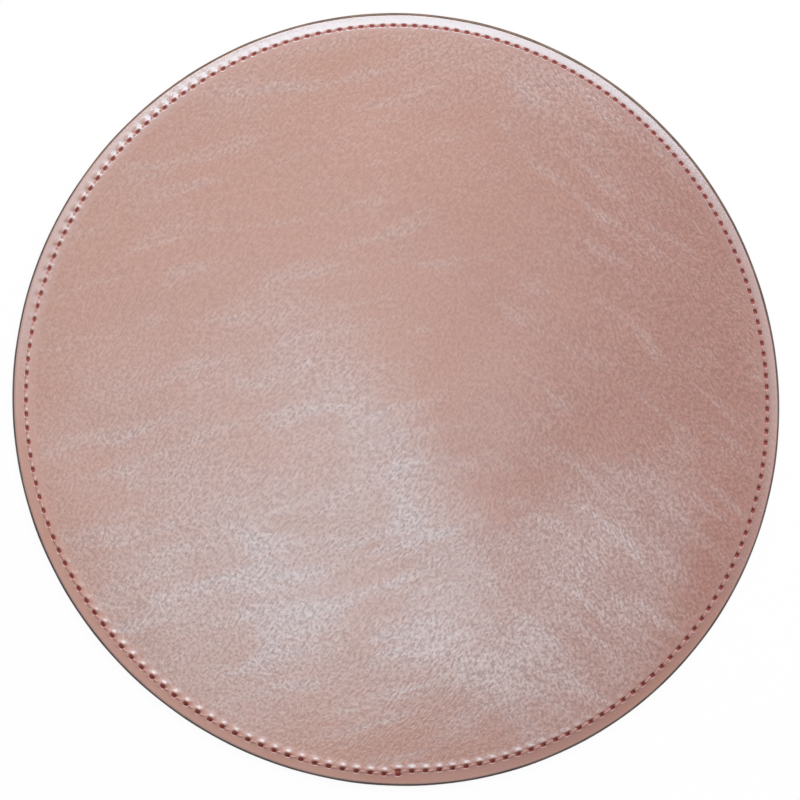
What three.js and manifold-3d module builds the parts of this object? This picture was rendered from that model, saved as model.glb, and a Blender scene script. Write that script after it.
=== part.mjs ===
// Round sewn mouse pad: a leather cover and a non-slip base, glued round a thin foam core and
// lockstitched together near the rim, with a painted edge.
// Millimetres, +Z up. The origin is the centre of the underside, and the seam joins near -Y.
import * as THREE from "three";
import { mergeVertices } from "three/addons/utils/BufferGeometryUtils.js";
import Module from "manifold-3d";

// Sheets
const padDiameter = 220;
const coverThickness = 0.9;
const coreThickness = 0.9;
const baseThickness = 1.0;
const glueThickness = 0.1;

// Rim
const rimGlueThickness = 0.15; // glue left between cover and base at the cut edge
const rimRounding = 0.35; // worn corner of the cover's cut edge
const coatThickness = 0.45; // edge paint, measured outwards
const coatLift = 0.1; // the paint stops this far above the desk

// Seam
const seamInset = 3.86; // outline to stitch line
const stitchPitch = 3.48; // mean length of a stitch
const pitchSwing = 0.16; // share by which stitches lengthen on one side and shorten on the other
const longStitchAngle = THREE.MathUtils.degToRad(238);
const joinAngle = THREE.MathUtils.degToRad(269.4); // the seam starts and finishes here
const needleThreadDiameter = 0.7;
const bobbinThreadDiameter = 0.5;
const holeStretch = 0.4; // a needle hole is this much longer than it is wide

// Clearances
const needleClearance = 0.22; // from a thread to the side of its hole
const layClearance = 0.06; // from a thread to the sheet that it lies on
const lockClearance = 0.1; // between the two threads where they meet
const faceClearance = 0.03; // between round or sloping faces that touch on the real pad

// Facets
const ringSegments = 60;
const coatSteps = 4;
const needleThreadSides = 4;
const bobbinThreadSides = 3;

// Heights above the desk
const coreBottom = baseThickness + glueThickness;
const coreTop = coreBottom + coreThickness;
const coverUnderside = coreTop + glueThickness;
const padThickness = coverUnderside + coverThickness;
const rimUnderside = baseThickness + rimGlueThickness;
const coatTop = rimUnderside + coverThickness - rimRounding;

// One needle pierces both sheets, and its last hole breaks into the outer side of its first.
const holeWidth = needleThreadDiameter + 2 * needleClearance;
const holeLength = holeWidth + holeStretch;
const joinStep = needleThreadDiameter + needleClearance;

// Radii. The lane is the ring that the wandering seam and its holes keep to.
const padRadius = padDiameter / 2;
const cutRadius = padRadius - coatThickness - faceClearance;
const seamRadius = padRadius - seamInset;
const laneHalfWidth = (joinStep + holeWidth) / 2 + needleClearance;
const laneInnerRadius = seamRadius - laneHalfWidth;
const laneOuterRadius = (seamRadius + laneHalfWidth) / Math.cos(Math.PI / ringSegments);
const shoulderRadius = laneInnerRadius + faceClearance;
const rimSlope = (coverUnderside - rimUnderside) / (cutRadius - shoulderRadius);

// The threads meet halfway between the sheets, and the lower one lies in a channel in the base.
const lockHeight = (baseThickness + coverUnderside - coverDrop(seamRadius)) / 2;
const channelDepth = bobbinThreadDiameter + 2 * layClearance;
const stitchCount = Math.round((2 * Math.PI * seamRadius) / stitchPitch);

const wasm = await Module();
wasm.setup();

// How far the cover has come down from its flat middle at a radius.
function coverDrop(radius) {
  return rimSlope * Math.max(0, radius - shoulderRadius);
}

// A polygon of [radius, height] points, counter-clockwise, turned about Z.
function turned(points) {
  const profile = points.map(([radius, height]) => new THREE.Vector2(radius, height));
  if (profile[0].x > 0) {
    profile.push(profile[0].clone());
  }
  return new THREE.LatheGeometry(profile, ringSegments).rotateX(Math.PI / 2);
}

function disc(radius, bottom, top) {
  return turned([
    [0, bottom],
    [radius, bottom],
    [radius, top],
    [0, top],
  ]);
}

function solidOf(geometry) {
  const bare = geometry.clone().deleteAttribute("normal").deleteAttribute("uv");
  const merged = mergeVertices(bare);
  return new wasm.Manifold(
    new wasm.Mesh({
      numProp: 3,
      vertProperties: merged.attributes.position.array,
      triVerts: new Uint32Array(merged.index.array),
    }),
  );
}

function geometryOf(solid) {
  const mesh = solid.getMesh();
  const geometry = new THREE.BufferGeometry();
  geometry.setAttribute("position", new THREE.BufferAttribute(mesh.vertProperties, 3));
  geometry.setIndex(new THREE.BufferAttribute(mesh.triVerts, 1));
  return geometry;
}

// Where the seam is at a share of its run: 0 is the first needle hole and 1 the last, beside it.
function seamPlace(share) {
  const turn = joinAngle + 2 * Math.PI * share;
  const swing = Math.sin(turn - longStitchAngle) - Math.sin(joinAngle - longStitchAngle);
  const angle = turn + pitchSwing * swing;
  const radius = seamRadius - (joinStep / 2) * (1 - 2 * share) ** 3;
  return new THREE.Vector3(radius * Math.cos(angle), radius * Math.sin(angle), 0);
}

function holePlaces() {
  return Array.from({ length: stitchCount + 1 }, (_, hole) => seamPlace(hole / stitchCount));
}

// The sheet with an upright needle hole through it at each place on the seam.
function pierced(sheet) {
  const needleLength = 4 * padThickness; // from well below the pad to well above it
  const needle = new THREE.BoxGeometry(holeWidth, holeLength, needleLength);
  let solid = solidOf(sheet);
  for (const place of holePlaces()) {
    const angle = Math.atan2(place.y, place.x);
    const hole = needle.clone().rotateZ(angle).translate(place.x, place.y, 0);
    solid = solid.subtract(solidOf(hole));
  }
  return geometryOf(solid);
}

// One unbroken tube through the centres, with every section upright and square to the seam.
function tube(centres, diameter, sides) {
  const positions = [];
  const triangles = [];
  for (const centre of centres) {
    const outward = new THREE.Vector3(centre.x, centre.y, 0).normalize();
    for (let side = 0; side < sides; side += 1) {
      const angle = Math.PI / 2 + (2 * Math.PI * side) / sides;
      const corner = centre.clone().addScaledVector(outward, (diameter / 2) * Math.cos(angle));
      positions.push(corner.x, corner.y, corner.z + (diameter / 2) * Math.sin(angle));
    }
  }
  for (let ring = 0; ring < centres.length - 1; ring += 1) {
    for (let side = 0; side < sides; side += 1) {
      const here = ring * sides + side;
      const above = ring * sides + ((side + 1) % sides);
      triangles.push(here, here + sides, above, above, here + sides, above + sides);
    }
  }
  const lastRing = (centres.length - 1) * sides;
  for (let side = 1; side < sides - 1; side += 1) {
    triangles.push(0, side, side + 1);
    triangles.push(lastRing, lastRing + side + 1, lastRing + side);
  }
  const geometry = new THREE.BufferGeometry();
  geometry.setAttribute("position", new THREE.Float32BufferAttribute(positions, 3));
  geometry.setIndex(triangles);
  return geometry;
}

// A thread's centres: in each hole it goes to its lock, and between holes it lies on its sheet.
function threadCentres(lockAt, lieAt) {
  const places = holePlaces();
  const reach = holeLength / 2 - needleClearance;
  const centres = [];
  places.forEach((hole, index) => {
    centres.push(hole.clone().setZ(lockAt));
    if (index === stitchCount) {
      return;
    }
    const next = places[index + 1];
    const step = next.clone().sub(hole).setLength(reach);
    for (const point of [hole.clone().add(step), next.clone().sub(step)]) {
      centres.push(point.setZ(lieAt(point.length())));
    }
  });
  return centres;
}

function topCover() {
  const roundingStart = cutRadius - rimRounding;
  const sheet = turned([
    [0, coverUnderside],
    [shoulderRadius, coverUnderside],
    [cutRadius, rimUnderside],
    [cutRadius, coatTop],
    [roundingStart, padThickness - coverDrop(roundingStart)],
    [shoulderRadius, padThickness],
    [0, padThickness],
  ]);
  return pierced(sheet);
}

function baseSheet() {
  const sheet = turned([
    [0, 0],
    [laneInnerRadius, 0],
    [laneInnerRadius, channelDepth],
    [laneOuterRadius, channelDepth],
    [laneOuterRadius, 0],
    [cutRadius, 0],
    [cutRadius, baseThickness],
    [0, baseThickness],
  ]);
  return pierced(sheet);
}

function rimBond() {
  const innerTop = coverUnderside - coverDrop(laneOuterRadius) - faceClearance;
  return turned([
    [laneOuterRadius, baseThickness],
    [cutRadius, baseThickness],
    [cutRadius, rimUnderside - faceClearance],
    [laneOuterRadius, innerTop],
  ]);
}

// A bead of paint with a half-round outside.
function edgeCoat() {
  const halfHeight = (coatTop - coatLift) / 2;
  const points = [];
  for (let step = 0; step <= coatSteps; step += 1) {
    const angle = Math.PI * (step / coatSteps - 0.5);
    const radius = cutRadius + faceClearance + coatThickness * Math.cos(angle);
    points.push([radius, coatLift + halfHeight * (1 + Math.sin(angle))]);
  }
  return turned(points);
}

function needleThread() {
  const halfThread = needleThreadDiameter / 2;
  const lockAt = lockHeight + lockClearance / 2 + halfThread;
  const lieAt = (radius) => padThickness - coverDrop(radius) + layClearance + halfThread;
  return tube(threadCentres(lockAt, lieAt), needleThreadDiameter, needleThreadSides);
}

function bobbinThread() {
  const halfThread = bobbinThreadDiameter / 2;
  const lockAt = lockHeight - lockClearance / 2 - halfThread;
  const lieAt = () => layClearance + halfThread;
  return tube(threadCentres(lockAt, lieAt), bobbinThreadDiameter, bobbinThreadSides);
}

const leather = new THREE.MeshStandardMaterial({ color: "#c4a095", roughness: 0.5 });
const foam = new THREE.MeshStandardMaterial({ color: "#5c5a58", roughness: 0.95 });
const glue = new THREE.MeshStandardMaterial({ color: "#d8cfb4", roughness: 0.4 });
const rubber = new THREE.MeshStandardMaterial({ color: "#2d2b2b", roughness: 0.9 });
const paint = new THREE.MeshStandardMaterial({ color: "#4a4142", roughness: 0.45 });
const roseThread = new THREE.MeshStandardMaterial({ color: "#b9767a", roughness: 0.4 });

const pieces = [
  ["top_cover", topCover(), leather],
  ["cover_glue_film", disc(laneInnerRadius, coreTop, coverUnderside), glue],
  ["foam_core", disc(laneInnerRadius, coreBottom, coreTop), foam],
  ["base_glue_film", disc(laneInnerRadius, baseThickness, coreBottom), glue],
  ["base_sheet", baseSheet(), rubber],
  ["rim_bond", rimBond(), glue],
  ["edge_coat", edgeCoat(), paint],
  ["needle_thread", needleThread(), roseThread],
  ["bobbin_thread", bobbinThread(), roseThread],
];

const pad = new THREE.Group();
pad.name = "mouse_pad";
for (const [name, geometry, material] of pieces) {
  const mesh = new THREE.Mesh(geometry, material);
  mesh.name = name;
  pad.add(mesh);
}

export default pad;
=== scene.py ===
import math

import bpy
import numpy as np
from mathutils import Matrix, Vector


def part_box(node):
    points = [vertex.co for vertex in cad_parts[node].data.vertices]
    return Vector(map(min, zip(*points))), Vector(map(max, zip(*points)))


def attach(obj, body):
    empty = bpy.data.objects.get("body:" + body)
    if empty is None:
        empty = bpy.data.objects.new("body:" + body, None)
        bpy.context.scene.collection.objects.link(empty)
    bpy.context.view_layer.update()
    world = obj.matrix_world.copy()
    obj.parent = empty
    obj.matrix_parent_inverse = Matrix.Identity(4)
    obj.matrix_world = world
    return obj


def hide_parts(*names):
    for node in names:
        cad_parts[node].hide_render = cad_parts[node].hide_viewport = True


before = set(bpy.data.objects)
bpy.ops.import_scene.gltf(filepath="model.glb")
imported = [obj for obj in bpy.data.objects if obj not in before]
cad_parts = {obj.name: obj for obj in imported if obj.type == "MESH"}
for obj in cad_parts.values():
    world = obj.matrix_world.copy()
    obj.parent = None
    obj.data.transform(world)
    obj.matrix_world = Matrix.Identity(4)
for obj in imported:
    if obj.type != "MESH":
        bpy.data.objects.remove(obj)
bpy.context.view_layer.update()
scene = bpy.context.scene
chance = np.random.default_rng(5)

# Sizes that the frame gives, in metres
MM = 0.001
cover_low, cover_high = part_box("top_cover")
core_low, core_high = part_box("foam_core")
coat_low, coat_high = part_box("edge_coat")
bond_low, bond_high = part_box("rim_bond")
PAD_RADIUS = coat_high.x
CUT_RADIUS = cover_high.x
CORE_RADIUS = core_high.x
WORK_FACE = cover_high.z
RIM_UNDERSIDE = cover_low.z
COVER_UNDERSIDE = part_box("cover_glue_film")[1].z
BASE_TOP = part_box("base_sheet")[1].z

# The seam, laid out as the frame has it
SEAM_INSET = 3.86 * MM
SEAM_RADIUS = PAD_RADIUS - SEAM_INSET
STITCH_PITCH = 3.48 * MM
PITCH_SWING = 0.16  # stitches lengthen on one side of the pad and shorten on the other
LONG_STITCH_ANGLE = math.radians(238)
JOIN_ANGLE = math.radians(269.4)
JOIN_STEP = 0.92 * MM  # the seam's end lies this far outside its start
JOIN_EASE = 0.6  # in stitches, how soon the cover's ridge has crossed that step
STITCHES = round(2 * math.pi * SEAM_RADIUS / STITCH_PITCH)

# The cover's rim
RIM_SLOPE = (COVER_UNDERSIDE - RIM_UNDERSIDE) / (CUT_RADIUS - CORE_RADIUS)
SHOULDER_RADIUS = CORE_RADIUS + 0.35 * MM
SHOULDER_SOFTNESS = 1.2 * MM
RIM_ROUNDING = 0.65 * MM
CORNER_RADIUS = CUT_RADIUS - RIM_ROUNDING
BURNISH_WIDTH = 3.4 * MM  # the burnish comes up over this much of the cover inside the seam
CORNER_LIGHT_WIDTH = 0.5 * MM  # painted highlight: the cover is lighter over this much of it inside the rounded corner, where the corner catches the light
CORNER_LIGHT_SHARE = 0.5
TRIM_SHARE = 0.0034  # the pad was cut a little out of round, with slight corners
TRIM_CORNERS = 3
TRIM_ANGLE = math.radians(75)

# What the needle and the pulled thread leave in the cover. Fades are limits of a cosine or a share.
HOLE_HALF_LENGTH = 1.08 * MM
HOLE_HALF_WIDTH = 0.62 * MM
HOLE_DEPTH = 0.74 * MM
HOLE_FADE = (0.5, 1.0)  # shares of a hole's half size between which its side rises
GAPE_SWING = 0.2  # the holes gape more on one side of the pad
GAPE_ANGLE = math.radians(290)
GAPE_WIDENING = 0.6  # a hole deepens with its gape, and widens with this power of it
RIDGE_HEIGHT = 0.08 * MM
RIDGE_HALF_WIDTH = 1.15 * MM
LIP_HEIGHT = 0.6 * MM
LIP_PLACE = 0.6 * MM  # from the middle of the hole
LIP_WIDTH = 0.9 * MM
LIP_SPREAD = 0.85  # the lips reach further along the seam than across it
LIP_UNDER_THREAD = 0.5  # the share of a lip's height that the thread leaves where it lies
LIP_TO_RIM = 0.7  # and the share that is left on the side towards the rim
LIP_VARIETY = (0.85, 1.15)
DRAWN_ANGLE = math.radians(97)  # the leather was drawn this way, so the lips stand on this side
DRAWN_FADE = (-0.3, 0.6)
ALONG_FADE = (0.2, 0.6)  # the lips die out where the leather was drawn along the seam
TIGHT_ANGLE = math.radians(206)  # the thread was drawn tightest round this side of the pad
TIGHT_FADE = (-0.4, 0.4)
SLACK_SHARE = 0.1  # the share of a lip's height on the other side
HAIR = 0.01 * MM  # a distance that is as good as none

# The faint waves of soft leather glued over foam
WAVES = 18
WAVE_LENGTHS = (22 * MM, 70 * MM)
WAVE_SLOPE = 0.006
WAVE_FADE = 16 * MM  # the waves die out over this distance inside the seam

# Threads. A dive is how far a thread goes into the holes, and shares are of a stitch's length.
NEEDLE_THREAD_RADIUS = 0.35 * MM
NEEDLE_SINK = 0.35 * NEEDLE_THREAD_RADIUS
NEEDLE_DIVE = 1.1 * MM
NEEDLE_ARCH = 0.05 * MM
NEEDLE_SLANT = 0.09 * MM
BOBBIN_THREAD_RADIUS = 0.25 * MM
BOBBIN_GAP = 0.06 * MM  # from the desk to the thread
BOBBIN_DIVE = -0.75 * MM
BOBBIN_ARCH = 0.0
BOBBIN_SLANT = 0.1 * MM
SLANT_VARIETY = (0.5, 1.5)
DIVE_FADE = (0.25 * MM, 1.05 * MM)  # distances from a hole between which the thread comes up
THREAD_WIDENING = 1.2  # a tight thread is pressed flat where it lies
THREAD_FLATTENING = 0.75
THREAD_PLIES = 3
PLY_LAY = 1.6 * MM  # along the thread, from one ply to the next
PLY_FILL = 0.93
PLY_SWELL = 0.1
GLINT_ANGLE = math.radians(166)  # painted highlight: the thread is painted pale on this side of the pad, where it catches the light
GLINT_FADE = (0.76, 0.98)  # cosines off that angle between which the painted highlight comes up
GLINT_FROM = (0.4, 0.6)
GLINT_TO = (0.66, 0.84)

# Edge paint. A lap is where on the rounded corner the paint starts, as an angle from its top.
PAINT_THICKNESS = PAD_RADIUS - CUT_RADIUS
PAINT_THIN_SHARE = 0.75
PAINT_WANDER = 0.04 * MM
PAINT_FEATHER = 0.05  # the share of its thickness where it starts
PAINT_GAIN = 0.8  # and what it gains from there to the end of the corner
PAINT_FULLEST = 0.4  # the share of the way down the side where it is thickest
PAINT_TOP_LOSS = 0.15
PAINT_FOOT_LOSS = 0.9
LONG_LAP = math.radians(14)
SHORT_LAP = math.radians(66)
LAP_WANDER = 0.12
FULL_LAP_ANGLE = math.radians(55)
HALF_LAP_ANGLE = math.radians(328)
HALF_LAP_SHARE = 0.5

# Base, foam core and rim glue
BASE_ROUNDING = 0.3 * MM
BASE_HOLE_DEPTH = 0.4 * MM
CHANNEL_DEPTH = 0.52 * MM
CHANNEL_FADE = (0.95 * MM, 1.35 * MM)  # distances from the seam between which its side comes down
CORE_INSET = 0.3 * MM
CORE_BULGE = 0.1 * MM
BEAD_WIDTH = 2.2 * MM
BEAD_WANDER = 0.15 * MM
BEAD_TOP_GAP = 0.05 * MM
BEAD_GAP = 0.02 * MM

# How finely things are drawn
FINE_PER_STITCH = 12
FINE = STITCHES * FINE_PER_STITCH
PLAIN = FINE // 8
SPARSE = PLAIN // 4
SPARSE_INSIDE = 26 * MM
FACE_RADII = np.arange(4, 103, 3) * MM
LANE_RADII = np.arange(FACE_RADII[-1] + 1.2 * MM, CORNER_RADIUS, 0.19 * MM)
BASE_LANE = 1.7 * MM
BASE_LANE_RADII = np.arange(SEAM_RADIUS + BASE_LANE, SEAM_RADIUS - BASE_LANE, -0.2 * MM)
BASE_FACE_RADII = np.arange(102, 4, -7) * MM
CORNER_STEPS = 5
PAINT_STEPS = 8
BASE_CORNER_STEPS = 4
THREAD_SIDES = 15
THREAD_STEPS = 26


# Seam places
def smooth_step(low, high, value):
    share = np.clip((value - low) / (high - low), 0, 1)
    return share * share * (3 - 2 * share)


def seam_angle(share):
    turn = JOIN_ANGLE + 2 * np.pi * share
    swing = np.sin(turn - LONG_STITCH_ANGLE) - np.sin(JOIN_ANGLE - LONG_STITCH_ANGLE)
    return turn + PITCH_SWING * swing


def seam_radius(share):
    return SEAM_RADIUS - JOIN_STEP / 2 * (1 - 2 * share) ** 3


def seam_line(share):
    """The seam's radius beside a share of its run, eased across the step where it joins."""
    beside = np.minimum(share, 1 - share) * STITCHES
    eased = smooth_step(0, JOIN_EASE, beside)
    return SEAM_RADIUS + (seam_radius(share) - SEAM_RADIUS) * eased


def trimmed(angle, radius):
    """A radius on the pad as it was cut."""
    return radius * (1 + TRIM_SHARE * np.cos(TRIM_CORNERS * (angle - TRIM_ANGLE)))


hole_shares = np.arange(STITCHES + 1) / STITCHES
hole_angles = seam_angle(hole_shares)
hole_radii = seam_radius(hole_shares)
hole_gapes = 1 + GAPE_SWING * np.cos(hole_angles - GAPE_ANGLE)
tightness = smooth_step(*TIGHT_FADE, np.cos(hole_angles - TIGHT_ANGLE))
hole_pulls = chance.uniform(*LIP_VARIETY, STITCHES + 1)
hole_pulls *= SLACK_SHARE + (1 - SLACK_SHARE) * tightness
hole_pulls *= smooth_step(*ALONG_FADE, np.abs(np.cos(hole_angles - DRAWN_ANGLE)))


# Meshes
def link(thing):
    scene.collection.objects.link(thing)


def new_piece(name, points, faces, marks=None):
    mesh = bpy.data.meshes.new(name)
    mesh.from_pydata(points.tolist(), [], faces)
    mesh.polygons.foreach_set("use_smooth", [True] * len(mesh.polygons))
    for mark, values in (marks or {}).items():
        mesh.attributes.new(mark, "FLOAT", "POINT").data.foreach_set("value", values)
    mesh.update()
    piece = bpy.data.objects.new(name, mesh)
    link(piece)
    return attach(piece, "root")


def round_angles(count):
    """Angles round the pad, at even shares of the seam so that the rings line up."""
    return seam_angle(np.arange(count) / count)


def round_count(radius):
    return SPARSE if radius < SPARSE_INSIDE else PLAIN


def ring(count, radius, height):
    """Points round the pad, or the one point in its middle."""
    if count == 1:
        return np.array([[0.0, 0.0, height]])
    angle = round_angles(count)
    reach = trimmed(angle, np.broadcast_to(radius, count))
    heights = np.broadcast_to(height, count)
    return np.column_stack([reach * np.cos(angle), reach * np.sin(angle), heights])


def span(numbers, step, steps):
    """The point numbers of one ring that belong to one step round the pad."""
    if len(numbers) == 1:
        return list(numbers)
    each = len(numbers) // steps
    return [numbers[(step * each + i) % len(numbers)] for i in range(each + 1)]


def ring_faces(rings, closed):
    """Faces between rings in turn. A ring may have several points to its neighbour's one."""
    starts = np.cumsum([0] + [len(points) for points in rings])
    numbered = [list(range(a, b)) for a, b in zip(starts, starts[1:])]
    pairs = list(zip(numbered, numbered[1:]))
    if closed:
        pairs.append((numbered[-1], numbered[0]))
    faces = []
    for near, far in pairs:
        counts = sorted([len(near), len(far)])
        steps = counts[0] if counts[0] > 1 else counts[1]
        for step in range(steps):
            faces.append(span(far, step, steps) + span(near, step, steps)[::-1])
    return faces


def turned_piece(name, rings, closed=False, marks=None):
    """A closed skin through rings that go out over the top, down the rim and back below."""
    return new_piece(name, np.concatenate(rings), ring_faces(rings, closed), marks)


def quarter_turn(steps):
    return np.linspace(0, math.pi / 2, steps + 1)


def wander(angle, size, cycles):
    """A slow handmade wander round the pad."""
    total = np.zeros_like(angle)
    for cycle in cycles:
        total += np.sin(cycle * angle + chance.uniform(0, 2 * np.pi))
    return size * total / len(cycles)


# Cover
def cover_height(radius):
    past = radius - SHOULDER_RADIUS
    return WORK_FACE - RIM_SLOPE * (past + np.sqrt(past**2 + SHOULDER_SOFTNESS**2)) / 2


waves = np.column_stack(
    [
        chance.uniform(*WAVE_LENGTHS, WAVES),
        chance.uniform(0, np.pi, WAVES),
        chance.uniform(0, 2 * np.pi, WAVES),
    ]
)


def undulation(points, radius):
    """The waves' height. They die out towards the seam, which holds the cover down."""
    total = np.zeros(len(points))
    for length, turn, start in waves:
        along = points[:, 0] * math.cos(turn) + points[:, 1] * math.sin(turn)
        total += WAVE_SLOPE * length / (2 * np.pi) * np.sin(2 * np.pi * along / length + start)
    return (1 - smooth_step(SEAM_RADIUS - WAVE_FADE, SEAM_RADIUS, radius)) * total


def seam_stripe(share, radius):
    """1 on the seam, and less and less beside it."""
    return np.exp(-(((radius - seam_line(share)) / RIDGE_HALF_WIDTH) ** 2))


def needle_marks(angle, radius):
    """The height that the holes and their lips add round one ring, and how much is hole."""
    turn = angle[:, None] - hole_angles[None, :]
    along = radius * ((turn + np.pi) % (2 * np.pi) - np.pi)
    across = (radius - hole_radii)[None, :]
    distance = np.maximum(np.hypot(along, across), HAIR)
    off = np.hypot(LIP_SPREAD * along, across)
    lips = hole_pulls * np.exp(-(((off - LIP_PLACE) / LIP_WIDTH) ** 2))
    drawn = DRAWN_ANGLE - hole_angles
    lips *= smooth_step(*DRAWN_FADE, (across * np.cos(drawn) + along * np.sin(drawn)) / distance)
    lips *= 1 - (1 - LIP_UNDER_THREAD) * (along / distance) ** 2
    lips *= 1 - (1 - LIP_TO_RIM) * np.maximum(across / distance, 0) ** 2
    opening = np.hypot(along / HOLE_HALF_LENGTH, across / HOLE_HALF_WIDTH)
    pits = 1 - smooth_step(*HOLE_FADE, opening / hole_gapes**GAPE_WIDENING)
    depths = HOLE_DEPTH * hole_gapes * pits
    return LIP_HEIGHT * lips.max(axis=1) - depths.max(axis=1), pits.max(axis=1)


def leather_cover():
    """The cover, with marks for how far each point is in a hole, lit on the rounded corner,
    burnished or on the seam.
    """
    rings = []
    marks = {"needle_hole": [], "corner_highlight": [], "burnish": [], "seam_stripe": []}

    def add(points, hole=0.0, corner_light=0.0, burnish=0.0, stripe=0.0):
        rings.append(points)
        for mark, value in zip(marks, (hole, corner_light, burnish, stripe)):
            marks[mark].append(np.broadcast_to(value, len(points)))

    add(ring(1, 0, WORK_FACE))
    for radius in FACE_RADII:
        points = ring(round_count(radius), radius, cover_height(radius))
        points[:, 2] += undulation(points, radius)
        add(points)
    for radius in LANE_RADII:
        pucker, hole = needle_marks(round_angles(FINE), radius)
        stripe = seam_stripe(np.arange(FINE) / FINE, radius)
        points = ring(FINE, radius, cover_height(radius) + RIDGE_HEIGHT * stripe + pucker)
        points[:, 2] += undulation(points, radius)
        corner_light = CORNER_LIGHT_SHARE * smooth_step(CORNER_RADIUS - CORNER_LIGHT_WIDTH, CORNER_RADIUS, radius)
        burnish = smooth_step(SEAM_RADIUS - BURNISH_WIDTH, SEAM_RADIUS, radius)
        add(points, hole, corner_light, burnish, stripe)
    for bend in quarter_turn(CORNER_STEPS):
        height = cover_height(CORNER_RADIUS) - RIM_ROUNDING * (1 - math.cos(bend))
        points = ring(FINE, CORNER_RADIUS + RIM_ROUNDING * math.sin(bend), height)
        add(points, corner_light=1.0, burnish=1.0)
    add(ring(PLAIN, CUT_RADIUS, RIM_UNDERSIDE), corner_light=1.0, burnish=1.0)
    add(ring(PLAIN, CORE_RADIUS, COVER_UNDERSIDE))
    add(ring(SPARSE, CORE_RADIUS / 2, COVER_UNDERSIDE))
    add(ring(1, 0, COVER_UNDERSIDE))
    joined = {mark: np.concatenate(values) for mark, values in marks.items()}
    return turned_piece("leather_cover", rings, marks=joined)


# Threads
def hole_place(hole):
    angle = hole_angles[hole]
    return trimmed(angle, hole_radii[hole]) * np.array([math.cos(angle), math.sin(angle)])


def thread_path(lie_height, dive, arch, slant):
    """Points through every hole, and how deep in a hole the thread is at each and how much painted
    highlight it takes.
    """
    path = []
    depth = []
    thread_glint = []
    for stitch in range(STITCHES):
        start = hole_place(stitch)
        chord = hole_place(stitch + 1) - start
        length = np.linalg.norm(chord)
        outward = np.array([chord[1], -chord[0]]) / length
        lean = slant * chance.uniform(*SLANT_VARIETY)
        glint_strength = smooth_step(*GLINT_FADE, math.cos(hole_angles[stitch] - GLINT_ANGLE))
        steps = THREAD_STEPS + (stitch == STITCHES - 1)  # the last stitch has its end point too
        for step in range(steps):
            share = step / THREAD_STEPS
            flat = start + chord * share + outward * lean * math.sin(2 * math.pi * share)
            lie = lie_height((stitch + share) / STITCHES) + arch * math.sin(math.pi * share)
            sunk = 1 - smooth_step(*DIVE_FADE, length * min(share, 1 - share))
            path.append([*flat, lie - dive * sunk])
            depth.append(sunk)
            crown = smooth_step(*GLINT_FROM, share) * (1 - smooth_step(*GLINT_TO, share))
            thread_glint.append(glint_strength * crown)
    return np.array(path), depth, thread_glint


def unit(vectors):
    return vectors / np.linalg.norm(vectors, axis=1)[:, None]


def sewn_thread(name, radius, lie_height, dive, arch, slant):
    """One twisted thread through every hole. lie_height gives the middle of its run."""
    path, depth, thread_glint = thread_path(lie_height, dive, arch, slant)
    tangent = unit(np.gradient(path, axis=0))
    side = unit(np.cross(tangent, [0, 0, 1]))
    top = np.cross(side, tangent)
    run = np.concatenate([[0], np.cumsum(np.linalg.norm(np.diff(path, axis=0), axis=1))])
    around = 2 * np.pi * np.arange(THREAD_SIDES) / THREAD_SIDES
    ply = np.cos(THREAD_PLIES * around[None, :] - 2 * np.pi * run[:, None] / PLY_LAY)
    thickness = radius * (PLY_FILL + PLY_SWELL * ply)
    points = (
        path[:, None, :]
        + (THREAD_WIDENING * thickness * np.cos(around))[:, :, None] * side[:, None, :]
        + (THREAD_FLATTENING * thickness * np.sin(around))[:, :, None] * top[:, None, :]
    ).reshape(-1, 3)
    last = (len(path) - 1) * THREAD_SIDES
    faces = []
    for here in range(0, last, THREAD_SIDES):
        there = here + THREAD_SIDES
        for i in range(THREAD_SIDES):
            j = (i + 1) % THREAD_SIDES
            faces.append([here + j, there + j, there + i, here + i])
    faces.append(list(range(THREAD_SIDES)))
    faces.append(list(range(last, last + THREAD_SIDES))[::-1])
    marks = {
        "depth": np.repeat(depth, THREAD_SIDES),
        "thread_glint": np.repeat(thread_glint, THREAD_SIDES),
        "ply": ply.reshape(-1),
    }
    return new_piece(name, points, faces, marks)


def needle_lie(share):
    return cover_height(seam_line(share)) + RIDGE_HEIGHT - NEEDLE_SINK


def bobbin_lie(share):
    return BOBBIN_THREAD_RADIUS + BOBBIN_GAP


# Edge paint
def paint_swell(share):
    """How full the paint is at a share of the way down the side."""
    if share < PAINT_FULLEST:
        return 1 - PAINT_TOP_LOSS * (1 - share / PAINT_FULLEST) ** 2
    return 1 - PAINT_FOOT_LOSS * ((share - PAINT_FULLEST) / (1 - PAINT_FULLEST)) ** 2


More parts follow.
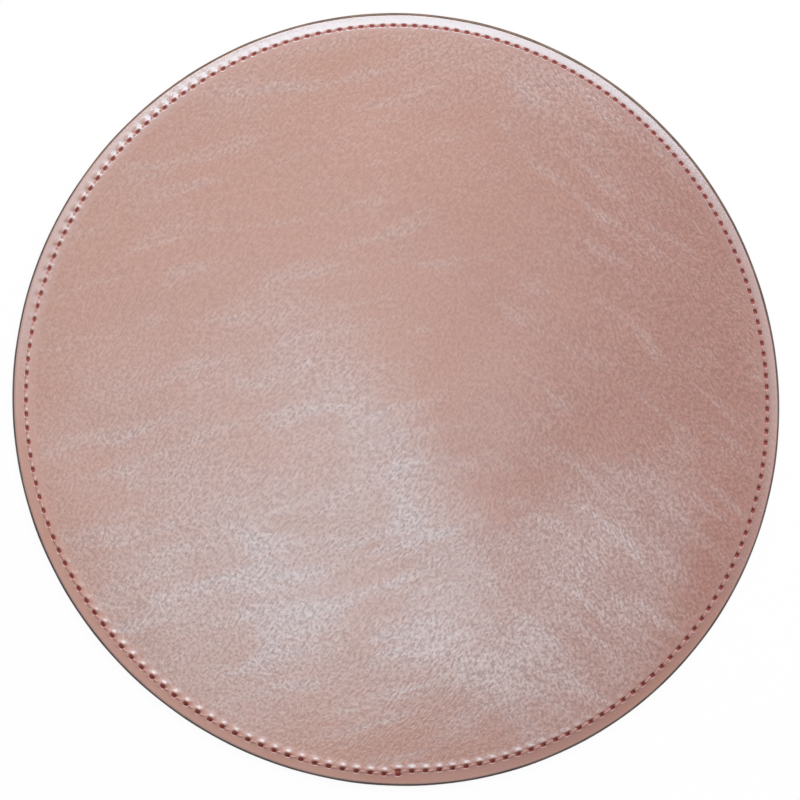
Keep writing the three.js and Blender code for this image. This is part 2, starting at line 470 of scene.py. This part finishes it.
def edge_coat():
    """Paint on the cut edge, which laps a little way over the cover's rounded corner."""
    angle = round_angles(PLAIN)
    half_lap = np.maximum(HALF_LAP_SHARE * np.cos(angle - HALF_LAP_ANGLE), 0)
    lap_share = np.maximum(np.cos(angle - FULL_LAP_ANGLE), half_lap)
    thickness = PAINT_THICKNESS * (PAINT_THIN_SHARE + (1 - PAINT_THIN_SHARE) * lap_share)
    thickness += wander(angle, PAINT_WANDER, cycles=(17, 29, 41))
    lap = SHORT_LAP + (LONG_LAP - SHORT_LAP) * lap_share
    lap += wander(angle, LAP_WANDER, cycles=(13, 23, 37))
    corner_middle = cover_height(CORNER_RADIUS) - RIM_ROUNDING

    def over_corner(share, skin):
        bend = lap + (math.pi / 2 - lap) * share
        reach = RIM_ROUNDING + skin
        height = corner_middle + reach * np.cos(bend)
        return ring(PLAIN, CORNER_RADIUS + reach * np.sin(bend), height)

    rings = []
    for share in np.linspace(0, 1, CORNER_STEPS + 1):
        rings.append(over_corner(share, thickness * (PAINT_FEATHER + PAINT_GAIN * share)))
    for share in np.linspace(0, 1, PAINT_STEPS + 1)[1:]:
        height = corner_middle + (coat_low.z - corner_middle) * share
        rings.append(ring(PLAIN, CUT_RADIUS + thickness * paint_swell(share), height))
    rings.append(ring(PLAIN, CUT_RADIUS + HAIR, coat_low.z))
    for share in (1.0, 0.5, 0.0):
        rings.append(over_corner(share, HAIR))
    return turned_piece("painted_edge", rings, closed=True)


# Base
def grip_base():
    """The base, with a channel for the thread below, and a mark for how far a point is in a hole."""
    rings = [
        ring(1, 0, BASE_TOP),
        ring(SPARSE, CORE_RADIUS / 2, BASE_TOP),
        ring(PLAIN, CUT_RADIUS, BASE_TOP),
    ]
    for bend in quarter_turn(BASE_CORNER_STEPS):
        inset = BASE_ROUNDING * (1 - math.cos(bend))
        rings.append(ring(PLAIN, CUT_RADIUS - inset, BASE_ROUNDING * (1 - math.sin(bend))))
    holes = [np.zeros(len(points)) for points in rings]
    for radius in BASE_LANE_RADII:
        hole = needle_marks(round_angles(FINE), radius)[1]
        channel = CHANNEL_DEPTH * (1 - smooth_step(*CHANNEL_FADE, abs(radius - SEAM_RADIUS)))
        rings.append(ring(FINE, radius, channel + BASE_HOLE_DEPTH * hole))
        holes.append(hole)
    for radius in BASE_FACE_RADII:
        rings.append(ring(round_count(radius), radius, 0))
        holes.append(np.zeros(len(rings[-1])))
    rings.append(ring(1, 0, 0))
    holes.append(np.zeros(1))
    return turned_piece("grip_base", rings, marks={"needle_hole": np.concatenate(holes)})


# Foam core and rim glue
def foam_core():
    bulge = CORE_BULGE + wander(round_angles(PLAIN), CORE_BULGE, cycles=(19, 31, 53))
    edge = CORE_RADIUS - CORE_INSET
    rings = [
        ring(1, 0, core_high.z),
        ring(SPARSE, edge / 2, core_high.z),
        ring(PLAIN, edge, core_high.z),
        ring(PLAIN, edge + bulge, (core_low.z + core_high.z) / 2),
        ring(PLAIN, edge, core_low.z),
        ring(SPARSE, edge / 2, core_low.z),
        ring(1, 0, core_low.z),
    ]
    return turned_piece("cut_foam_core", rings)


def rim_glue():
    squeeze = wander(round_angles(PLAIN), BEAD_WANDER, cycles=(11, 23, 47))
    inner = bond_high.x - BEAD_WIDTH + squeeze
    outer = CUT_RADIUS - BEAD_GAP
    rings = [
        ring(PLAIN, inner, bond_high.z - BEAD_TOP_GAP),
        ring(PLAIN, outer, RIM_UNDERSIDE - BEAD_GAP),
        ring(PLAIN, outer, bond_low.z),
        ring(PLAIN, inner, bond_low.z),
    ]
    return turned_piece("squeezed_rim_glue", rings, closed=True)


# Pieces
cover = leather_cover()
needle_thread = sewn_thread(
    "sewn_needle_thread", NEEDLE_THREAD_RADIUS, needle_lie, NEEDLE_DIVE, NEEDLE_ARCH, NEEDLE_SLANT
)
bobbin_thread = sewn_thread(
    "sewn_bobbin_thread", BOBBIN_THREAD_RADIUS, bobbin_lie, BOBBIN_DIVE, BOBBIN_ARCH, BOBBIN_SLANT
)
coat = edge_coat()
base = grip_base()
foam = foam_core()
glue_bead = rim_glue()


# Materials
class Graph:
    """One material's nodes. What goes into a socket is another socket or a plain value."""

    def __init__(self, name):
        self.material = bpy.data.materials.new(name)
        self.material.use_nodes = True
        self.tree = self.material.node_tree
        self.tree.nodes.clear()

    def add(self, kind, sockets, output=0, **settings):
        node = self.tree.nodes.new("ShaderNode" + kind)
        for name, value in settings.items():
            setattr(node, name, value)
        for key, value in sockets.items():
            if isinstance(value, bpy.types.NodeSocket):
                self.tree.links.new(value, node.inputs[key])
            else:
                node.inputs[key].default_value = value
        return node.outputs[output] if node.outputs else None

    def place(self):
        """Where a point is on the pad, in metres."""
        return self.add("TexCoord", {}, output=3)

    def axis(self, vector, number):
        """One coordinate of a place: 0 for x, to the right, or 1 for y, to the far side."""
        return self.add("SeparateXYZ", {0: vector}, output=number)

    def mark(self, name):
        return self.add("Attribute", {}, output=2, attribute_name=name)

    def math(self, operation, first, second):
        return self.add("Math", {0: first, 1: second}, operation=operation)

    def vector(self, operation, first, second):
        return self.add("VectorMath", {0: first, 1: second}, operation=operation)

    def ease(self, value, low, high, to_low=0.0, to_high=1.0):
        sockets = {0: value, 1: low, 2: high, 3: to_low, 4: to_high}
        return self.add("MapRange", sockets, interpolation_type="SMOOTHSTEP")

    def between(self, share, first, second):
        """A number between two others."""
        return self.add("Mix", {0: share, 2: first, 3: second})

    def mix(self, share, first, second):
        """A colour between two others."""
        return self.add("Mix", {0: share, 6: first, 7: second}, output=2, data_type="RGBA")

    def noise(self, vector, size, detail, roughness=0.5, output=0):
        sockets = {"Vector": vector, "Scale": 1 / size, "Detail": detail, "Roughness": roughness}
        return self.add("TexNoise", sockets, output=output)

    def cells(self, vector, size):
        return self.add("TexVoronoi", {"Vector": vector, "Scale": 1 / size}, feature="F1")

    def laid(self, vector, x=0, y=0, turn=0, length=1 / MM, width=1 / MM):
        """The vector as seen by something at x, y with a turn, a length and a width, in mm."""
        sockets = {
            "Vector": vector,
            "Location": (x * MM, y * MM, 0),
            "Rotation": (0, 0, math.radians(turn)),
            "Scale": (length * MM, width * MM, 1),
        }
        return self.add("Mapping", sockets, vector_type="TEXTURE")

    def streaks(self, vector, turn, length, width, detail):
        return self.noise(self.laid(vector, 0, 0, turn, length, width), 1.0, detail)

    def bump(self, height, depth, strength, under=None):
        sockets = {"Height": height, "Distance": depth, "Strength": strength}
        if under is not None:
            sockets["Normal"] = under
        return self.add("Bump", sockets)

    def surface(self, **sockets):
        named = {key.replace("_", " "): value for key, value in sockets.items()}
        shader = self.add("BsdfPrincipled", named)
        self.add("OutputMaterial", {"Surface": shader})
        return self.material


def srgb(red, green, blue):
    """A screen colour, 0 to 255, as a linear colour."""
    parts = [part / 255 for part in (red, green, blue)]
    linear = [p / 12.92 if p <= 0.04045 else ((p + 0.055) / 1.055) ** 2.4 for p in parts]
    return (*linear, 1.0)


# Leather
DRIFT_SIZE = 30 * MM  # its patterns are bent out of line by a noise of this size
DRIFT_REACH = 30 * MM
DRIFT_OF_ZONES = 0.35  # the share of that reach which the zones and wisps take
CLOUD_SIZE = 32 * MM
WRINKLE_SIZE = 6 * MM
PEBBLE_SIZE = 0.95 * MM
RELIEF_DEPTH = 0.3 * MM
SIDES_MEET = (0.0, 60 * MM)  # the x between which the left half's pattern gives way to the right's
SHADE_TURN = -8  # in degrees: painted shade, the tan darkens to the right, and slightly to the near side, where less light falls
SHADE_WIDTH = 120 * MM
SHADE_RAGGEDNESS = 60 * MM
BAND_PAINTED_LIGHT = (-40 * MM, 50 * MM)  # the y between which the band takes its paler far colour, a painted highlight for light falling from the far side
DULLEST_ZONE = -0.05
FULL_SHEEN_AND_POLISH = 1.15

# Where the painted sheen, a pale colour standing in for reflected light, is brighter or duller, and
# the leather a little glossier: x, y, turn, length, width, and by how much
SHEEN_AND_POLISH_ZONES = [
    (-33, -57, 10, 140, 110, 0.72),
    (-42, -42, -56, 100, 30, 0.45),
    (-14, -1, -50, 65, 40, 0.5),
    (6, -38, -57, 120, 34, 0.45),
    (14, -79, 3, 65, 24, 0.45),
    (-74, -66, 20, 75, 55, 0.45),
    (58, -42, 20, 75, 50, 0.85),
    (71, 15, -60, 40, 20, 0.6),
    (79, -9, 60, 45, 20, 0.4),
    (35, 93, -25, 80, 26, 0.6),
    (-47, 86, 30, 60, 26, 0.3),
    (-45, 60, 25, 90, 60, -0.12),
    (52, 8, -20, 110, 60, -0.7),
    (26, -22, -60, 70, 34, -0.45),
    (42, -76, 25, 80, 46, 0.5),
    (97, -38, 68, 70, 24, -0.6),
    (0, -98, 0, 60, 30, -0.45),
]


def sheen_and_polish_zones(g, vector):
    """The sum of the zones, each a soft oval."""
    total = 0.0
    for x, y, turn, length, width, strength in SHEEN_AND_POLISH_ZONES:
        oval = g.laid(vector, x, y, turn, length, width)
        zone = g.add("TexGradient", {"Vector": oval}, output=1, gradient_type="QUADRATIC_SPHERE")
        total = g.math("ADD", g.math("MULTIPLY", zone, strength), total)
    return total


def pearl_leather():
    g = Graph("pearl_leather")
    burnish = g.mark("burnish")
    hole = g.mark("needle_hole")
    place = g.place()
    drift = g.noise(place, DRIFT_SIZE, detail=3.0, output=1)
    drift = g.vector("SUBTRACT", drift, (0.5, 0.5, 0.5))
    drift = g.vector("MULTIPLY", drift, (DRIFT_REACH, DRIFT_REACH, 0))
    drifted = g.vector("ADD", place, drift)
    bent = g.vector("MULTIPLY", drift, (DRIFT_OF_ZONES, DRIFT_OF_ZONES, 0))
    bent = g.vector("ADD", place, bent)
    clouds = g.noise(drifted, CLOUD_SIZE, detail=5.0, roughness=0.62)

    # Wisps rise to the right on the left half and fall to the right on the other
    right_half = g.ease(g.axis(place, 0), *SIDES_MEET)
    rising = g.streaks(bent, turn=15, length=34, width=6, detail=3.0)
    falling = g.streaks(bent, turn=-38, length=34, width=5, detail=3.0)
    wisps = g.between(right_half, rising, falling)

    # Pebbled grain, with short creases that lean the same way as the wisps
    rising = g.streaks(place, turn=54, length=1.7, width=0.65, detail=1.5)
    falling = g.streaks(place, turn=-62, length=1.7, width=0.65, detail=1.5)
    creases = g.between(right_half, rising, falling)
    pebbles = g.noise(place, PEBBLE_SIZE, detail=1.5)
    grain = g.between(0.5, creases, pebbles)
    flecks = g.ease(grain, 0.36, 0.64)

    # How much painted sheen there is, and how glossy: zones broken up by clouds and wisps, and none
    # on the burnished band
    mottle = g.between(0.4, clouds, wisps)
    patches = g.ease(mottle, 0.3, 0.7, to_low=0.62, to_high=1.38)
    sheen_and_polish = g.math("MULTIPLY", sheen_and_polish_zones(g, bent), patches)
    sheen_and_polish = g.math("MAXIMUM", sheen_and_polish, DULLEST_ZONE)
    sheen_and_polish = g.math("ADD", sheen_and_polish, g.ease(wisps, 0.5, 0.74, to_high=0.4))
    sheen_and_polish = g.math("ADD", sheen_and_polish, g.ease(mottle, 0.4, 0.65, to_low=-0.06, to_high=0.16))
    sheen_and_polish = g.math("MULTIPLY", sheen_and_polish, g.math("SUBTRACT", 1.0, burnish))
    sheen_and_polish = g.add("MapRange", {0: sheen_and_polish, 2: FULL_SHEEN_AND_POLISH})

    # Colour
    # Painted shade: the tan darkens to the right, standing in for light that falls off across the
    # pad
    slantwise = g.axis(g.laid(place, turn=SHADE_TURN), 0)
    ragged = g.math("ADD", slantwise, g.math("MULTIPLY", clouds, SHADE_RAGGEDNESS))
    painted_shade = g.ease(ragged, 0.0, SHADE_WIDTH)
    dark_tan = g.mix(painted_shade, srgb(186, 127, 104), srgb(159, 95, 72))
    light_tan = g.mix(painted_shade, srgb(199, 143, 120), srgb(184, 120, 97))
    tan = g.mix(flecks, dark_tan, light_tan)
    # Painted highlight: the burnished band is paler and more lilac towards the far side, where the
    # light falls; painted shade darkens it to the right
    painted_far_light = g.ease(g.axis(place, 1), *BAND_PAINTED_LIGHT)
    smooth_tan = g.mix(painted_far_light, srgb(208, 151, 132), srgb(202, 158, 146))
    smooth_tan = g.mix(painted_shade, smooth_tan, srgb(178, 122, 106))
    blotches = g.ease(clouds, 0.45, 0.65, to_high=0.35)
    smooth_tan = g.mix(blotches, smooth_tan, srgb(196, 132, 104))
    tan = g.mix(burnish, tan, smooth_tan)
    # Painted sheen: a pale lilac, flecked with the grain as painted glints, standing in for light
    # reflected off the leather
    painted_sheen = g.mix(flecks, srgb(170, 137, 130), srgb(220, 194, 189))
    colour = g.mix(g.math("MULTIPLY", sheen_and_polish, 0.75), tan, painted_sheen)
    # Painted highlight: lighter on the rounded corner, where it catches the light
    corner_light = g.math("MULTIPLY", g.mark("corner_highlight"), 0.3)
    colour = g.mix(corner_light, colour, srgb(206, 158, 142))
    # Painted shade: the leather beside the seam is darker on the shaded right side of the pad; the
    # same mask dulls the gloss there
    painted_seam_shade = g.math("MULTIPLY", g.mark("seam_stripe"), painted_shade)
    painted_seam_shade = g.math("MULTIPLY", painted_seam_shade, 0.6)
    colour = g.mix(painted_seam_shade, colour, srgb(150, 84, 62))
    # Painted shade: the holes are painted a dark red, deeper than the leather, standing in for the
    # shade inside them
    colour = g.mix(g.ease(hole, 0.0, 0.6), colour, srgb(172, 60, 32))

    # Relief and gloss
    wrinkle = g.noise(drifted, WRINKLE_SIZE, detail=3.0)
    normal = g.bump(wrinkle, RELIEF_DEPTH, strength=0.2)
    relief = g.math("SUBTRACT", grain, 0.5)
    relief = g.math("MULTIPLY", relief, g.ease(burnish, 0.0, 1.0, to_low=1.0, to_high=0.6))
    normal = g.bump(relief, RELIEF_DEPTH, strength=0.6, under=normal)
    roughness = g.ease(sheen_and_polish, 0.0, 1.0, to_low=0.3, to_high=0.26)
    roughness = g.between(burnish, roughness, 0.24)
    roughness = g.between(painted_seam_shade, roughness, 0.6)
    roughness = g.between(g.ease(hole, 0.0, 0.4), roughness, 0.8)
    return g.surface(
        Base_Color=colour,
        Roughness=roughness,
        IOR=1.8,
        Specular_IOR_Level=1.0,
        Specular_Tint=(0.48, 0.84, 1.0, 1.0),
        Normal=normal,
    )


# Thread, edge paint, rubber, foam and glue
FIBRE_SIZE = 0.3  # in mm, as streaks are
FIBRE_DEPTH = 0.03 * MM
PAINT_PATCH_SIZE = 6 * MM
GRIT_SIZE = 0.4 * MM
GRIT_DEPTH = 0.04 * MM
EDGE_PAINTED_LIGHT = (20 * MM, 90 * MM)
DUST_SIZE = 14 * MM
GRIP_CELL_SIZE = 0.9 * MM
GRIP_DEPTH = 0.15 * MM
FOAM_CELL_SIZE = 0.35 * MM
FOAM_DEPTH = 0.1 * MM
BRUSH_DEPTH = 0.05 * MM


def thread_lustre():
    g = Graph("sewing_thread")
    fibres = g.streaks(g.place(), turn=0, length=FIBRE_SIZE, width=FIBRE_SIZE, detail=2.0)
    colour = g.mix(g.ease(fibres, 0.3, 0.7), srgb(171, 114, 107), srgb(193, 140, 131))
    # Painted shade: darker in the furrows between the plies
    furrow_shade = g.ease(g.mark("ply"), -1.0, 0.0, to_low=0.4, to_high=0.0)
    colour = g.mix(furrow_shade, colour, srgb(172, 104, 102))
    # Painted shade: the thread is darker the deeper it goes into a hole, where shade falls
    colour = g.mix(g.ease(g.mark("depth"), 0.08, 0.55), colour, srgb(124, 46, 24))
    # Painted highlight: pale glints on the stitches on one side of the pad, where the thread catches
    # the light
    colour = g.mix(g.mark("thread_glint"), colour, srgb(221, 190, 186))
    return g.surface(
        Base_Color=colour,
        Roughness=0.32,
        Specular_IOR_Level=0.9,
        Sheen_Weight=0.3,
        Sheen_Roughness=0.4,
        Normal=g.bump(fibres, FIBRE_DEPTH, strength=0.4),
    )


def edge_paint():
    g = Graph("edge_paint")
    place = g.place()
    patches = g.noise(place, PAINT_PATCH_SIZE, detail=4.0)
    grit = g.noise(place, GRIT_SIZE, detail=2.0)
    # Painted light: the paint is lighter and browner on the far side, where the light falls on it
    painted_far_light = g.ease(g.axis(place, 1), *EDGE_PAINTED_LIGHT)
    dark = g.mix(painted_far_light, srgb(84, 73, 72), srgb(98, 76, 64))
    light = g.mix(painted_far_light, srgb(104, 90, 87), srgb(122, 96, 80))
    return g.surface(
        Base_Color=g.mix(g.ease(patches, 0.35, 0.65), dark, light),
        Roughness=g.ease(grit, 0.2, 0.8, to_low=0.3, to_high=0.45),
        Specular_IOR_Level=0.3,
        Normal=g.bump(grit, GRIT_DEPTH, strength=0.4),
    )


def grip_rubber():
    g = Graph("grip_rubber")
    place = g.place()
    dust = g.noise(place, DUST_SIZE, detail=5.0)
    colour = g.mix(g.ease(dust, 0.35, 0.7), srgb(40, 38, 38), srgb(54, 51, 50))
    # Painted shade: darker inside the needle holes, where shade falls
    colour = g.mix(g.mark("needle_hole"), colour, srgb(20, 16, 16))
    return g.surface(
        Base_Color=colour,
        Roughness=g.ease(dust, 0.3, 0.7, to_low=0.78, to_high=0.9),
        Normal=g.bump(g.cells(place, GRIP_CELL_SIZE), GRIP_DEPTH, strength=0.6),
    )


def sheet_foam():
    g = Graph("foam")
    cells = g.cells(g.place(), FOAM_CELL_SIZE)
    # Painted shade: the foam is darker in its pits, where shade falls
    return g.surface(
        Base_Color=g.mix(g.ease(cells, 0.1, 0.6), srgb(66, 64, 62), srgb(104, 102, 100)),
        Roughness=0.95,
        Normal=g.bump(cells, FOAM_DEPTH, strength=0.8),
    )


def contact_glue():
    g = Graph("contact_glue")
    brushed = g.streaks(g.place(), turn=30, length=30, width=1.2, detail=3.0)
    return g.surface(
        Base_Color=g.mix(g.ease(brushed, 0.3, 0.7), srgb(208, 198, 170), srgb(226, 219, 196)),
        Roughness=g.ease(brushed, 0.3, 0.7, to_low=0.35, to_high=0.5),
        Normal=g.bump(brushed, BRUSH_DEPTH, strength=0.5),
    )


# What each piece stands for and is made of
glue = contact_glue()
thread_finish = thread_lustre()
for piece, node, slot, material in [
    (cover, "top_cover", "pearl_leather", pearl_leather()),
    (needle_thread, "needle_thread", "sewing_thread", thread_finish),
    (bobbin_thread, "bobbin_thread", "sewing_thread", thread_finish),
    (coat, "edge_coat", "edge_paint", edge_paint()),
    (base, "base_sheet", "grip_rubber", grip_rubber()),
    (foam, "foam_core", "foam", sheet_foam()),
    (glue_bead, "rim_bond", "contact_glue", glue),
]:
    piece.data.materials.append(material)
    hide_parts(node)
for node in ("cover_glue_film", "base_glue_film"):
    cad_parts[node].material_slots[0].material = glue

# World, floor, lamps and camera
AMBIENT = 0.44
FLOOR_RADIUS = 4.0
FLOOR_OPENING = CUT_RADIUS - 0.3 * MM  # open under the pad, so that its underside shows from below
FLOOR_GLOW = 0.95
FLOOR_GAP = 0.02 * MM
CAMERA_TILT = math.radians(10.24)
CAMERA_SIDE = math.radians(210.4)
CAMERA_DISTANCE = 1.5
CAMERA_LEFT = 0.08 * MM
CAMERA_DOWN = 0.46 * MM
SENSOR_WIDTH = 36
VIEW_WIDTH = 226.8 * MM  # what the picture's width takes in at the pad


def white_to_camera(tree, strength_otherwise):
    """A socket that is 1 for what the camera sees directly, and a plain value for the rest."""
    path = tree.nodes.new("ShaderNodeLightPath")
    strength = tree.nodes.new("ShaderNodeMapRange")
    tree.links.new(path.outputs["Is Camera Ray"], strength.inputs[0])
    strength.inputs[3].default_value = strength_otherwise
    return strength.outputs[0]


def studio_world():
    world = bpy.data.worlds.new("studio")
    world.use_nodes = True
    tree = world.node_tree
    background = tree.nodes["Background"]
    background.inputs["Color"].default_value = (1, 1, 1, 1)
    tree.links.new(white_to_camera(tree, AMBIENT), background.inputs["Strength"])
    return world


def floor_finish():
    """Matt and pale, nearly white to the camera, and clear from below."""
    g = Graph("pale_floor")
    matt = g.add("BsdfDiffuse", {"Color": (0.9, 0.9, 0.9, 1)})
    glow = g.add("Emission", {"Color": (1, 1, 1, 1)})
    share = g.math("MULTIPLY", white_to_camera(g.tree, 0.0), FLOOR_GLOW)
    lit = g.add("MixShader", {0: share, 1: matt, 2: glow})
    from_below = g.add("NewGeometry", {}, output=6)
    clear = g.add("BsdfTransparent", {})
    shown = g.add("MixShader", {0: from_below, 1: lit, 2: clear})
    g.add("OutputMaterial", {"Surface": shown})
    return g.material


def pale_floor():
    rings = [ring(PLAIN, reach, -FLOOR_GAP) for reach in (FLOOR_OPENING, FLOOR_RADIUS)]
    mesh = bpy.data.meshes.new("floor")
    mesh.from_pydata(np.concatenate(rings).tolist(), [], ring_faces(rings, closed=False))
    mesh.materials.append(floor_finish())
    floor = bpy.data.objects.new("floor", mesh)
    link(floor)


def soft_light(name, place, size, power):
    """A lamp that faces the middle of the pad."""
    lamp = bpy.data.lights.new(name, "AREA")
    lamp.shape = "RECTANGLE"
    lamp.size, lamp.size_y = size
    lamp.energy = power
    light = bpy.data.objects.new(name, lamp)
    light.location = place
    light.visible_camera = False
    light.rotation_euler = Vector(place).to_track_quat("Z", "Y").to_euler()
    link(light)


def photo_camera():
    """The camera, tilted a little from straight above."""
    sideways = math.sin(CAMERA_TILT)
    back = Vector(
        (
            sideways * math.cos(CAMERA_SIDE),
            sideways * math.sin(CAMERA_SIDE),
            math.cos(CAMERA_TILT),
        )
    )
    right = Vector((0, 1, 0)).cross(back).normalized()
    up = back.cross(right)
    lens = bpy.data.cameras.new("camera")
    lens.sensor_width = SENSOR_WIDTH
    lens.lens = SENSOR_WIDTH * CAMERA_DISTANCE / VIEW_WIDTH
    camera = bpy.data.objects.new("camera", lens)
    stand = back * CAMERA_DISTANCE - right * CAMERA_LEFT - up * CAMERA_DOWN
    turn = Matrix((right, up, back)).transposed().to_4x4()
    camera.matrix_world = Matrix.Translation(stand) @ turn
    link(camera)
    return camera


scene.world = studio_world()
pale_floor()
soft_light("far_box", (0.19, 0.84, 0.72), (1.2, 0.8), 10.6)
soft_light("left_box", (-0.4, 0.42, 1.2), (0.5, 0.6), 0.85)
soft_light("low_left_box", (-0.62, 0.57, 0.83), (0.5, 0.5), 0.55)
soft_light("right_box", (0.78, 0.27, 0.9), (0.6, 0.5), 1.0)
soft_light("overhead", (0.035, -0.013, 0.42), (0.14, 0.1), 0.1)
scene.camera = photo_camera()
scene.view_settings.view_transform = "Standard"
